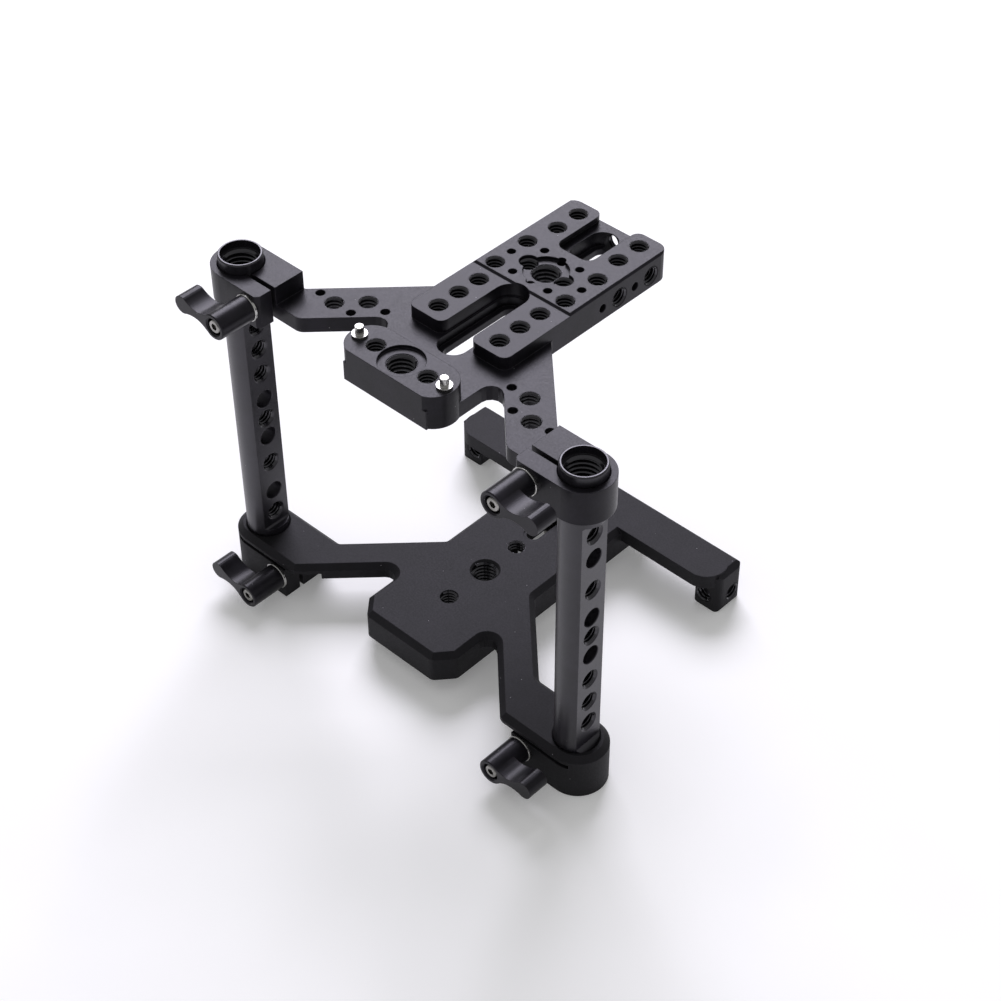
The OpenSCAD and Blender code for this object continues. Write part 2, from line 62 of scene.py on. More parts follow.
def linear(hex_code: str) -> tuple[float, float, float, float]:
    """Turns an sRGB hex value such as "1b1a1d" into linear RGBA.

    Args:
        hex_code: Six hex digits.

    Returns:
        The linear colour with alpha 1.
    """
    parts = [int(hex_code[i:i + 2], 16) / 255 for i in (0, 2, 4)]
    return (*[c / 12.92 if c <= 0.04045 else ((c + 0.055) / 1.055) ** 2.4 for c in parts], 1.0)


def add(tree: bpy.types.NodeTree, kind: str, settings: dict | None = None,
        inputs: dict | None = None) -> bpy.types.Node:
    """Adds one shader node, sets its options and fills or links its inputs.

    Args:
        tree: The material's or the world's node tree.
        kind: The node's type, such as "ShaderNodeTexNoise".
        settings: Attributes of the node by name.
        inputs: Inputs by name or index; an output socket is linked, anything else is set.

    Returns:
        The new node.
    """
    new = tree.nodes.new(kind)
    for name, value in (settings or {}).items():
        setattr(new, name, value)
    for name, value in (inputs or {}).items():
        if isinstance(value, bpy.types.NodeSocket):
            tree.links.new(value, new.inputs[name])
        else:
            new.inputs[name].default_value = value
    return new


def ramp(tree: bpy.types.NodeTree, source: bpy.types.NodeSocket,
         stops: list[tuple[float, tuple[float, float, float, float]]]) -> bpy.types.NodeSocket:
    """Adds a colour ramp.

    Args:
        tree: The node tree.
        source: The factor.
        stops: Pairs of position and linear colour, in rising order.

    Returns:
        The ramp's colour output.
    """
    new = add(tree, "ShaderNodeValToRGB", inputs={"Fac": source})
    elements = new.color_ramp.elements
    while len(elements) < len(stops):
        elements.new(0.5)
    for element, (place, colour) in zip(elements, stops):
        element.position = place
        element.color = colour
    return new.outputs["Color"]


def per_mm(size_mm: float) -> float:
    """Scale of a pattern on Object coordinates whose marks are size_mm wide."""
    return 1000.0 / size_mm


def grey(value: float) -> tuple[float, float, float, float]:
    """A linear grey, used for numbers that pass through a colour ramp."""
    return (value, value, value, 1.0)


def deselect() -> None:
    """Leaves edit mode and deselects everything."""
    if bpy.context.object and bpy.context.object.mode != "OBJECT":
        bpy.ops.object.mode_set(mode="OBJECT")
    bpy.ops.object.select_all(action="DESELECT")


def pick(obj: bpy.types.Object) -> None:
    """Makes obj the only selected and the active object."""
    deselect()
    obj.select_set(True)
    bpy.context.view_layer.objects.active = obj


def settle(obj: bpy.types.Object) -> bpy.types.Object:
    """Applies obj's place, turn and size to its mesh.

    Args:
        obj: The object.

    Returns:
        The same object, now at the origin.
    """
    pick(obj)
    bpy.ops.object.transform_apply(location=True, rotation=True, scale=True)
    return obj


def join(name: str, parts: list[bpy.types.Object]) -> bpy.types.Object:
    """Joins settled objects into one.

    Args:
        name: Name of the result.
        parts: The objects, all at the origin.

    Returns:
        The joined object.
    """
    deselect()
    for part in parts:
        part.select_set(True)
    bpy.context.view_layer.objects.active = parts[0]
    if len(parts) > 1:
        bpy.ops.object.join()
    parts[0].name = parts[0].data.name = name
    return parts[0]


def turned_to(axis: Vector, at: Vector) -> Matrix:
    """Placement that takes +Z to axis and the origin to at."""
    return Matrix.Translation(at) @ axis.to_track_quat("Z", "Y").to_matrix().to_4x4()


# Finishes


PIT_MM = 0.28  # Width of the pits that blasting leaves, drawn coarser than they are so that they show.
FEED_MM = 0.35  # Spacing of turned rings. Tool feed is about 0.1 mm; it is drawn coarser so that it shows.
CLOUD_MM = 9.0  # Width of the cloudy patches in the dye.
GLOSS_MM = 0.55  # Width of the marks in the gloss.
SPECK_MM = 3.2  # Width of the cells that may hold a speck of dust.
EDGE_MARK_MM = 1.6  # Width of the patches where an edge has rubbed and carries a painted highlight.
STAIN_MM = 2.4  # Width of the patches in the tone of steel.
GRAIN_HEIGHT_MM = 0.04  # Height of the grain of anodised aluminium.
RING_HEIGHT_MM = 0.03  # Height of the rings of turned steel.


class Marks(Enum):
    """How a surface was cut, which gives the direction of its finest lines."""

    BLASTED = "blasted"
    TURNED_Z = "turned about Z"
    TURNED_Y = "turned about Y"


@dataclass(frozen=True)
class Finish:
    """What every finish has: a name, a broken edge and a grain.

    Attributes:
        name: Name of the material, for what it is.
        edge_mm: Radius to which the edges look broken.
        marks: Direction of the finest lines.
    """

    name: str
    edge_mm: float = 0.3
    marks: Marks = Marks.BLASTED

    def start(self) -> tuple[bpy.types.NodeTree, bpy.types.Node, bpy.types.NodeSocket]:
        """Starts the material.

        Returns:
            Its tree, its shader node and the Object coordinates.
        """
        material = bpy.data.materials.new(self.name)
        material.use_nodes = True
        tree = material.node_tree
        tree.nodes.clear()
        shader = add(tree, "ShaderNodeBsdfPrincipled")
        add(tree, "ShaderNodeOutputMaterial", inputs={"Surface": shader.outputs["BSDF"]})
        return tree, shader, add(tree, "ShaderNodeTexCoord").outputs["Object"]

    def rounded(self, tree: bpy.types.NodeTree) -> tuple[bpy.types.NodeSocket, bpy.types.NodeSocket]:
        """Rounds the edges for the light, and finds them for the wear and the painted edge highlight.

        Args:
            tree: The material's tree.

        Returns:
            The softened normal, and a mask that is 1 along edges.
        """
        bevel = add(tree, "ShaderNodeBevel", {"samples": 6}, {"Radius": self.edge_mm * MM})
        true = add(tree, "ShaderNodeNewGeometry").outputs["Normal"]
        along = add(tree, "ShaderNodeVectorMath", {"operation": "DOT_PRODUCT"},
                    {0: bevel.outputs["Normal"], 1: true})
        mask = ramp(tree, along.outputs["Value"], [(0.72, grey(1.0)), (0.985, grey(0.0))])
        return bevel.outputs["Normal"], mask

    def lines(self, tree: bpy.types.NodeTree, place: bpy.types.NodeSocket) -> bpy.types.NodeSocket:
        """Height of the finest marks: blasting pits, or the rings that turning leaves.

        Args:
            tree: The material's tree.
            place: Object coordinates.

        Returns:
            A height from 0 to 1.
        """
        pits = add(tree, "ShaderNodeTexNoise", inputs={
            "Vector": place, "Scale": per_mm(PIT_MM), "Detail": 3.0, "Roughness": 0.6})
        if self.marks is Marks.BLASTED:
            return pits.outputs["Fac"]
        stretch = (0.02, 0.02, 1.0) if self.marks is Marks.TURNED_Z else (0.02, 1.0, 0.02)
        along = add(tree, "ShaderNodeVectorMath", {"operation": "MULTIPLY"}, {0: place, 1: stretch})
        rings = add(tree, "ShaderNodeTexNoise", inputs={
            "Vector": along.outputs["Vector"], "Scale": per_mm(FEED_MM), "Detail": 2.0})
        both = add(tree, "ShaderNodeMath", {"operation": "MULTIPLY_ADD"},
                   {0: rings.outputs["Fac"], 1: 0.65, 2: pits.outputs["Fac"]})
        return add(tree, "ShaderNodeMath", {"operation": "MULTIPLY"},
                   {0: both.outputs["Value"], 1: 0.6}).outputs["Value"]

    def material(self) -> bpy.types.Material:
        """Builds the material; each finish has its own."""
        raise NotImplementedError


@dataclass(frozen=True)
class BlackAnodised(Finish):
    """Aluminium, bead-blasted or turned, dyed black in the anodising bath.

    A thin clear oxide over black dye: satin, with a cool violet cast where it reflects light, a cloudy
    tone from the dye, fine pits, a few pale dust specks and edges painted lighter, partly rubbed grey and
    partly as a painted highlight.

    Attributes:
        dark: Dye at its deepest.
        light: Dye at its thinnest.
        edge: Colour of the edges, partly rubbed grey and partly a painted highlight.
        smooth: Lowest roughness.
        rough: Highest roughness.
        bump: Strength of the grain.
        sheen_level: Specular level of the oxide.
    """

    dark: str = "131215"
    light: str = "1f1d23"
    edge: str = "55535a"
    smooth: float = 0.3
    rough: float = 0.42
    bump: float = 0.16
    sheen_level: float = 0.5

    def material(self) -> bpy.types.Material:
        """Builds the black anodised finish.

        Returns:
            The material.
        """
        tree, shader, place = self.start()
        normal, edges = self.rounded(tree)
        clouds = add(tree, "ShaderNodeTexNoise", inputs={
            "Vector": place, "Scale": per_mm(CLOUD_MM), "Detail": 4.0, "Roughness": 0.55})
        dye = ramp(tree, clouds.outputs["Fac"],
                   [(0.36, linear(self.dark)), (0.66, linear(self.light))])
        fine = add(tree, "ShaderNodeTexNoise", inputs={
            "Vector": place, "Scale": per_mm(GLOSS_MM), "Detail": 2.0})
        # Specks of dust a quarter of a millimetre across, some centimetres apart.
        cells = add(tree, "ShaderNodeTexVoronoi", {"feature": "F1"}, {
            "Vector": place, "Scale": per_mm(SPECK_MM), "Randomness": 1.0})
        near = ramp(tree, cells.outputs["Distance"], [(0.035, grey(1.0)), (0.055, grey(0.0))])
        chosen = add(tree, "ShaderNodeSeparateColor", inputs={"Color": cells.outputs["Color"]})
        rare = add(tree, "ShaderNodeMath", {"operation": "GREATER_THAN"},
                   {0: chosen.outputs["Red"], 1: 0.72})
        specks = add(tree, "ShaderNodeMath", {"operation": "MULTIPLY"},
                     {0: near, 1: rare.outputs["Value"]})
        # The edges are painted lighter in patches: partly rubbed dye, partly a painted edge highlight.
        rub_and_highlight_patches = add(tree, "ShaderNodeTexNoise", inputs={
            "Vector": place, "Scale": per_mm(EDGE_MARK_MM), "Detail": 3.0})
        patchy = ramp(tree, rub_and_highlight_patches.outputs["Fac"], [(0.38, grey(0.15)), (0.62, grey(0.75))])
        wear_and_edge_highlight = add(tree, "ShaderNodeMath", {"operation": "MULTIPLY"}, {0: edges, 1: patchy})
        worn_and_highlighted = add(tree, "ShaderNodeMix", {"data_type": "RGBA"}, {
            "Factor": wear_and_edge_highlight.outputs["Value"], 6: dye, 7: linear(self.edge)})
        dusty = add(tree, "ShaderNodeMix", {"data_type": "RGBA"}, {
            "Factor": specks.outputs["Value"], 6: worn_and_highlighted.outputs[2], 7: linear("8a898d")})
        gloss = ramp(tree, fine.outputs["Fac"],
                     [(0.3, grey(self.smooth)), (0.7, grey(self.rough))])
        tree.links.new(dusty.outputs[2], shader.inputs["Base Color"])
        tree.links.new(gloss, shader.inputs["Roughness"])
        grain = add(tree, "ShaderNodeBump", inputs={
            "Strength": self.bump, "Distance": GRAIN_HEIGHT_MM * MM, "Height": self.lines(tree, place),
            "Normal": normal})
        tree.links.new(grain.outputs["Normal"], shader.inputs["Normal"])
        shader.inputs["Specular IOR Level"].default_value = self.sheen_level
        shader.inputs["Specular Tint"].default_value = linear("f8f6ff")
        return bpy.data.materials[self.name]


@dataclass(frozen=True)
class Stainless(Finish):
    """Stainless steel as it comes off a lathe: bright, with fine rings, a slightly duller pitting and a
    painted highlight along its edges.

    Attributes:
        dark: Metal in the hollows of the marks.
        light: Metal on their crests.
        smooth: Lowest roughness.
        rough: Highest roughness.
    """

    dark: str = "a9a8a6"
    light: str = "cfcecb"
    smooth: float = 0.2
    rough: float = 0.34

    def material(self) -> bpy.types.Material:
        """Builds the turned steel finish.

        Returns:
            The material.
        """
        tree, shader, place = self.start()
        normal, edges = self.rounded(tree)
        marks = self.lines(tree, place)
        stain = add(tree, "ShaderNodeTexNoise", inputs={
            "Vector": place, "Scale": per_mm(STAIN_MM), "Detail": 3.0})
        tone = ramp(tree, stain.outputs["Fac"], [(0.3, linear(self.dark)), (0.7, linear(self.light))])
        # The edges are painted lighter, towards e2e1de: a painted edge highlight.
        bright = add(tree, "ShaderNodeMix", {"data_type": "RGBA"}, {
            "Factor": edges, 6: tone, 7: linear("e2e1de")})
        tree.links.new(bright.outputs[2], shader.inputs["Base Color"])
        tree.links.new(ramp(tree, marks, [(0.3, grey(self.smooth)), (0.7, grey(self.rough))]),
                       shader.inputs["Roughness"])
        grain = add(tree, "ShaderNodeBump", inputs={
            "Strength": 0.2, "Distance": RING_HEIGHT_MM * MM, "Height": marks, "Normal": normal})
        tree.links.new(grain.outputs["Normal"], shader.inputs["Normal"])
        shader.inputs["Metallic"].default_value = 1.0
        return bpy.data.materials[self.name]


def dress(obj: bpy.types.Object, material: bpy.types.Material) -> None:
    """Gives an object one material, in its slots if it has any.

    Args:
        obj: A CAD node or a new piece.
        material: The finish.
    """
    if not obj.material_slots:
        obj.data.materials.append(material)
    for place in obj.material_slots:
        place.material = material


# Threads


@dataclass(frozen=True)
class Thread:
    """A standard screw thread, in mm.

    Attributes:
        major_r: Radius to which the hole is cut in the solids.
        minor_r: Radius of the crests of the tapped thread.
        pitch: Rise of one turn.
        chamfer: Depth of the countersink at the mouth.
    """

    major_r: float
    minor_r: float
    pitch: float
    chamfer: float


QUARTER = Thread(3.175, 2.6, 1.27, 0.14)
CROSS_QUARTER = Thread(3.175, 2.6, 1.27, 0.48)
THREE_EIGHTH = Thread(4.7625, 4.02, 1.5875, 0.25)
M12 = Thread(6.0, 5.2, 1.75, 0.1)

FOOT = 0.74  # Width of a ridge's foot as a share of the pitch.
CREST = 0.16  # Width of its crest as a share of the foot.
SINK = 0.04  # How far the foot reaches into the metal, in mm.
STEPS = 28  # Sections in one turn of a ridge.
LEAD = 0.1  # Distance from the countersink to the first ridge, in mm.


def helix(name: str, wall_r: float, crest_r: float, pitch: float, length: float) -> bpy.types.Object:
    """Models one thread ridge by turning a small section up an axis.

    Args:
        name: Name of the object.
        wall_r: Radius at which the ridge stands on the metal, in mm.
        crest_r: Radius of its crest, in mm; smaller than wall_r for a tapped hole.
        pitch: Rise of one turn, in mm.
        length: Length along the axis, in mm.

    Returns:
        The ridge, along +Z from the origin, as a closed mesh.
    """
    inner = crest_r < wall_r
    foot = pitch * FOOT
    sink = SINK if inner else -SINK
    middle = (wall_r + sink + crest_r) / 2
    deselect()
    bpy.ops.mesh.primitive_plane_add(size=1, location=(middle * MM, 0, foot / 2 * MM),
                                     rotation=(math.pi / 2, 0, 0))
    obj = bpy.context.object
    obj.name = name
    obj.scale = (abs(wall_r + sink - crest_r) * MM, foot * MM, 1)
    settle(obj)
    bpy.ops.object.mode_set(mode="EDIT")
    bpy.ops.mesh.select_all(action="SELECT")
    bpy.ops.mesh.delete(type="ONLY_FACE")
    bpy.ops.object.mode_set(mode="OBJECT")
    for vertex in obj.data.vertices:
        vertex.select = (vertex.co.x < middle * MM) == inner
    for edge in obj.data.edges:
        edge.select = all(obj.data.vertices[i].select for i in edge.vertices)
    bpy.ops.object.mode_set(mode="EDIT")
    bpy.ops.transform.resize(value=(1, 1, CREST), center_override=(crest_r * MM, 0, foot / 2 * MM))
    bpy.ops.object.mode_set(mode="OBJECT")
    turns = max(1, int((length - foot) / pitch + 0.25))
    screw = obj.modifiers.new("turns", "SCREW")
    screw.axis = "Z"
    screw.angle = 2 * math.pi
    screw.screw_offset = pitch * MM
    screw.iterations = turns
    screw.steps = screw.render_steps = STEPS
    bpy.ops.object.modifier_apply(modifier="turns")
    bpy.ops.object.mode_set(mode="EDIT")
    bpy.ops.mesh.select_all(action="SELECT")
    bpy.ops.mesh.fill_holes(sides=4)
    bpy.ops.mesh.select_all(action="SELECT")
    bpy.ops.mesh.normals_make_consistent(inside=False)
    bpy.ops.object.mode_set(mode="OBJECT")
    bpy.ops.object.shade_smooth_by_angle(angle=math.radians(40))
    return obj


def rim(name: str, thread: Thread) -> bpy.types.Object:
    """Models the countersunk first turn at the mouth of a tapped hole, as a thin funnel.

    Args:
        name: Name of the object.
        thread: The thread behind it.

    Returns:
        The funnel, from the mouth at the origin down +Z, as a closed mesh.
    """
    outer = thread.major_r + 0.02
    inner = thread.minor_r + 0.12
    depth = (outer - inner) * 1.1
    low = max(0.0, thread.chamfer - LEAD)
    deselect()
    bpy.ops.mesh.primitive_cone_add(vertices=40, radius1=outer * MM, radius2=inner * MM,
                                    depth=depth * MM, end_fill_type="NOTHING",
                                    location=(0, 0, (low + depth / 2) * MM))
    obj = settle(bpy.context.object)
    obj.name = name
    wall = obj.modifiers.new("wall", "SOLIDIFY")
    wall.thickness = 0.1 * MM
    wall.offset = 1.0
    bpy.ops.object.modifier_apply(modifier="wall")
    bpy.ops.object.shade_smooth_by_angle(angle=math.radians(40))
    return obj


@dataclass
class TappedHoles:
    """The cut threads of a group of like holes in one sub-part.

    Attributes:
        name: Name of the piece.
        body: Body that it rides on.
        thread: The thread.
        depth: Tapped depth below the mouth, in mm.
        into: Direction from the mouth into the metal.
        mouths: Mouths of the holes, in mm.
    """

    name: str
    body: str
    thread: Thread
    depth: float
    into: tuple[float, float, float]
    mouths: list[tuple[float, float, float]]

    def build(self, material: bpy.types.Material) -> bpy.types.Object:
        """Models one thread and sets a copy of it in each hole.

        Args:
            material: Finish of the thread.

        Returns:
            The piece.
        """
        axis = Vector(self.into).normalized()
        start = self.thread.chamfer + LEAD
        ridge = helix(self.name, self.thread.major_r, self.thread.minor_r, self.thread.pitch,
                      self.depth - start - 2 * LEAD)
        ridge.matrix_world = Matrix.Translation((0, 0, start * MM))
        first = join(self.name, [settle(ridge), rim("mouth", self.thread)])
        parts = []
        for mouth in self.mouths:
            part = first.copy()
            part.data = first.data.copy()
            bpy.context.collection.objects.link(part)
            part.matrix_world = turned_to(axis, Vector(mouth) * MM)
            parts.append(settle(part))
        bpy.data.objects.remove(first)
        piece = join(self.name, parts)
        dress(piece, material)
        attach(piece, self.body)
        log.info("%s: %d threads, %d faces", self.name, len(self.mouths), len(piece.data.polygons))
        return piece


# Sub-assemblies

CHANNEL = 6.5  # Height of the roof of the camera screw's channel, in mm.
WIRE_SIDES = 10  # Sides of a spring's round wire.


@dataclass
class TopPlate:
    """The top plate with its tapped mounting pattern.

    Attributes:
        floor_z: Top of the arms.
        rail_z: Top of the two front rails.
        platform_z: Top of the rear platform.
        mount_z: Top of the front mount.
        under_z: Underside.
        recess: Depth of the two round locating recesses.
    """

    floor_z: float = 119.5
    rail_z: float = 124.3
    platform_z: float = 125.0
    mount_z: float = 126.4
    under_z: float = 113.9
    recess: float = 1.2

    def groups(self) -> list[TappedHoles]:
        """Lists the plate's tapped holes.

        Returns:
            One group for each thread, depth and direction.
        """
        down = (0, 0, -1)
        both = (-1, 1)
        rear = [(s * x, y, self.platform_z) for s in both
                for x, y in ((15.27, 22.28), (15.27, 37.72), (13.28, 50.08), (13.28, 60.46))]
        rails = [(s * 13.27, y, self.rail_z) for s in both for y in (-5.9, 3.36, 12.62)]
        arms = [(s * x, y, self.floor_z) for s in both for x, y in ((35.25, -15.8), (43, -23.5))]
        mount = [(s * 11.2, -35.4, self.mount_z) for s in both]
        recess_floor = self.platform_z - self.recess
        mount_floor = self.mount_z - self.recess
        return [
            TappedHoles("top_plate_recess_threads", "top", QUARTER, recess_floor - self.under_z, down,
                        [(s * 7.6, 30, recess_floor) for s in both]),
            TappedHoles("top_plate_platform_threads", "top", QUARTER, self.platform_z - self.under_z,
                        down, rear),
            TappedHoles("top_plate_rail_threads", "top", QUARTER, self.rail_z - self.under_z, down, rails),
            TappedHoles("top_plate_arm_threads", "top", QUARTER, self.floor_z - self.under_z, down, arms),
            TappedHoles("front_mount_side_threads", "top", QUARTER, self.mount_z - self.under_z, down,
                        mount),
            TappedHoles("top_plate_right_side_threads", "top", QUARTER, 6.3, (-1, 0, 0),
                        [(21.2, 41.9, 118.7), (21.2, 57.4, 118.7)]),
            TappedHoles("top_plate_left_side_threads", "top", QUARTER, 6.3, (1, 0, 0),
                        [(-21.2, 41.3, 118.3), (-21.2, 56.8, 118.3)]),
            TappedHoles("top_plate_rear_thread", "top", QUARTER, 3.6, (0, -1, 0), [(0, 66.3, 118.1)]),
            TappedHoles("top_plate_middle_thread", "top", THREE_EIGHTH, recess_floor - self.under_z, down,
                        [(0, 30, recess_floor)]),
            TappedHoles("front_mount_middle_thread", "top", THREE_EIGHTH, mount_floor - self.under_z, down,
                        [(0, -35.4, mount_floor)]),
        ]

    def build(self, plate: bpy.types.Material, thread: bpy.types.Material, steel: bpy.types.Material) -> None:
        """Dresses the plate and its pins and cuts its threads.

        Args:
            plate: Finish of the plate.
            thread: Finish inside the holes.
            steel: Finish of the locating pins.
        """
        dress(NODES["top_plate"], plate)
        dress(NODES["front_locating_pins"], steel)
        for group in self.groups():
            group.build(thread)
        log.info("top plate done")


@dataclass
class BasePlate:
    """The base plate with the threads of its tripod hole, plank and rear blocks.

    Attributes:
        top_z: Upper face.
        block_y: Rear face of the blocks.
        block_x: Outer face of the blocks.
        hole_z: Height of the blocks' holes.
    """

    top_z: float = 11.6
    block_y: float = 66.0
    block_x: float = 62.9
    hole_z: float = -0.2

    def groups(self) -> list[TappedHoles]:
        """Lists the plate's tapped holes.

        Returns:
            One group for each thread, depth and direction.
        """
        found = [
            TappedHoles("base_plate_tripod_thread", "base", THREE_EIGHTH, self.top_z, (0, 0, 1),
                        [(0, 0, 0)]),
            TappedHoles("base_plate_front_plank_thread", "base", QUARTER, self.top_z, (0, 0, 1),
                        [(0, -18, 0)]),
            # The camera screw's channel opens the lower part of this hole, so its thread ends above.
            TappedHoles("base_plate_rear_plank_thread", "base", QUARTER, self.top_z - CHANNEL, (0, 0, -1),
                        [(0, 16, self.top_z)]),
            TappedHoles("rear_block_back_threads", "base", QUARTER, 2.4, (0, -1, 0),
                        [(s * 56, self.block_y, self.hole_z) for s in (-1, 1)]),
            TappedHoles("rear_block_front_threads", "base", QUARTER, 4.4, (0, 1, 0),
                        [(s * 56, 52.7, self.hole_z) for s in (-1, 1)]),
        ]
        for side, sign in (("right", 1), ("left", -1)):
            found.append(TappedHoles(f"{side}_rear_block_side_thread", "base", QUARTER, 3.6, (-sign, 0, 0),
                                     [(sign * self.block_x, 60.4, self.hole_z)]))
        return found

    def build(self, plate: bpy.types.Material, thread: bpy.types.Material) -> None:
        """Dresses the plate and cuts its threads.

        Args:
            plate: Finish of the plate.
            thread: Finish inside the holes.
        """
        dress(NODES["base_plate"], plate)
        for group in self.groups():
            group.build(thread)
        log.info("base plate done")


@dataclass
class Rod:
    """One of the two upright rods, with six tapped cross holes and a tapped hole in each end.

    Attributes:
        side: "right" or "left".
        sign: 1 on the right, -1 on the left.
        heights: Heights of the tapped cross holes.
        axis_x: Distance of the rod from the middle.
        axis_y: Its place from front to back.
        flat: Half the distance between the flats.
        low_z: Lower end.
        high_z: Upper end.
        sunk: Depth of the counterbore in each end.
        end_depth: Tapped depth below it.
    """

    side: str
    sign: int
    heights: tuple[float, ...]
    axis_x: float = 74.1
    axis_y: float = -34.9
    flat: float = 4.9
    low_z: float = -6.0
    high_z: float = 130.0
    sunk: float = 3.0
    end_depth: float = 12.8

    def build(self, turned: bpy.types.Material, thread: bpy.types.Material) -> None:
        """Dresses the rod and cuts its threads.

        Args:
            turned: Finish of the rod.
            thread: Finish inside the holes.
        """
        body = f"{self.side}_rod"
        dress(NODES[body], turned)
        x = self.sign * self.axis_x
        TappedHoles(f"{body}_cross_threads", body, CROSS_QUARTER, 2 * self.flat, (-1, 0, 0),
                    [(x + self.flat, self.axis_y, z) for z in self.heights]).build(thread)
        TappedHoles(f"{body}_upper_end_thread", body, M12, self.end_depth, (0, 0, -1),
                    [(x, self.axis_y, self.high_z - self.sunk)]).build(thread)
        TappedHoles(f"{body}_lower_end_thread", body, M12, self.end_depth, (0, 0, 1),
                    [(x, self.axis_y, self.low_z + self.sunk)]).build(thread)
        log.info("%s done", body)


def coil(name: str, ring_r: float, wire_r: float, length: float, turns: int) -> bpy.types.Object:
    """Winds a compression spring from a round wire.

    Args:
        name: Name of the object.
        ring_r: Radius of the wire's middle line, in mm.
        wire_r: Radius of the wire, in mm.
        length: Length over the wire, in mm.
        turns: Number of turns.

    Returns:
        The spring along +Z from the origin, as a closed mesh.
    """
    deselect()
    bpy.ops.mesh.primitive_circle_add(vertices=WIRE_SIDES, radius=wire_r * MM,
                                      location=(ring_r * MM, 0, wire_r * MM),
                                      rotation=(math.pi / 2, 0, 0))
    obj = settle(bpy.context.object)
    obj.name = name
    screw = obj.modifiers.new("turns", "SCREW")
    screw.axis = "Z"
    screw.angle = 2 * math.pi
    screw.screw_offset = (length - 2 * wire_r) / turns * MM
    screw.iterations = turns
    screw.steps = screw.render_steps = 32
    bpy.ops.object.modifier_apply(modifier="turns")
    bpy.ops.object.mode_set(mode="EDIT")
    bpy.ops.mesh.select_all(action="SELECT")
    bpy.ops.mesh.fill_holes(sides=WIRE_SIDES)
    bpy.ops.mesh.select_all(action="SELECT")
    bpy.ops.mesh.normals_make_consistent(inside=False)
    bpy.ops.object.mode_set(mode="OBJECT")
    bpy.ops.object.shade_smooth_by_angle(angle=math.radians(50))
    return obj


@dataclass
class ClampLever:
    """One ratchet lever with its stud, screw, spring and washer.

    Attributes:
        name: Such as "upper_right".
        x: Place of the lever's axis from side to side.
        y: Face of the clamp that the washer lies on.
        z: Height of the lever's axis.
        seat: Distance of the spring's seat in the lever from the clamp.
        head: Distance of the screw head's underside from the clamp.
        pull: How far the lever pulls out; not used.
        ring_r: Radius of the spring's middle line.
        wire_r: Radius of its wire.
        turns: Number of its turns.
    """

    name: str
    x: float
    y: float
    z: float
    seat: float = 6.45
    head: float = 11.38
    pull: float = 2.2
    ring_r: float = 2.1
    wire_r: float = 0.25
    turns: int = 4

    def spring(self, wire: bpy.types.Material) -> None:
        """Winds the spring between the lever and the screw head.

        Args:
            wire: Its finish.
        """
        length = self.head - self.seat
        out = Vector((0, -1, 0))
        axis = Vector((self.x, self.y, self.z))
        piece = coil(f"{self.name}_lever_coil_spring", self.ring_r, self.wire_r, length, self.turns)
        piece.matrix_world = turned_to(out, (axis + out * self.seat) * MM)
        settle(piece)
        dress(piece, wire)
        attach(piece, f"{self.name}_stud")
        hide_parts(f"{self.name}_lever_spring")
        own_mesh(piece)

    def build(self, milled: bpy.types.Material, steel: bpy.types.Material,
              bright: bpy.types.Material) -> None:
        """Dresses the solids of the lever and winds its spring.

        Args:
            milled: Finish of the lever.
            steel: Finish of the stud, the screw and the spring.
            bright: Finish of the washer.
        """
        dress(NODES[f"{self.name}_lever"], milled)
        for part in ("clamp_stud", "lever_screw"):
            dress(NODES[f"{self.name}_{part}"], steel)
        dress(NODES[f"{self.name}_clamp_washer"], bright)
        self.spring(steel)
        log.info("%s lever done", self.name)


def cylinder(name: str, radius: float, low: float, high: float, sides: int = 48) -> bpy.types.Object:
    """Adds an upright cylinder about the Z axis.

    Args:
        name: Its name.
        radius: In mm.
        low: Height of its lower end, in mm.
        high: Height of its upper end, in mm.
        sides: Number of sides.

    Returns:
        The settled object.
    """
    deselect()
    bpy.ops.mesh.primitive_cylinder_add(vertices=sides, radius=radius * MM, depth=(high - low) * MM,
                                        location=(0, 0, (low + high) / 2 * MM))
    obj = bpy.context.object
    obj.name = name
    return settle(obj)


def cut(obj: bpy.types.Object, cutter: bpy.types.Object) -> None:
    """Cuts cutter out of obj and deletes it.

    Args:
        obj: The object that is cut.
        cutter: The shape that is taken away.
    """
    pick(obj)
    hollow = obj.modifiers.new("cut", "BOOLEAN")
    hollow.operation = "DIFFERENCE"
    hollow.solver = "EXACT"
    hollow.object = cutter
    bpy.ops.object.modifier_apply(modifier="cut")
    bpy.data.objects.remove(cutter)


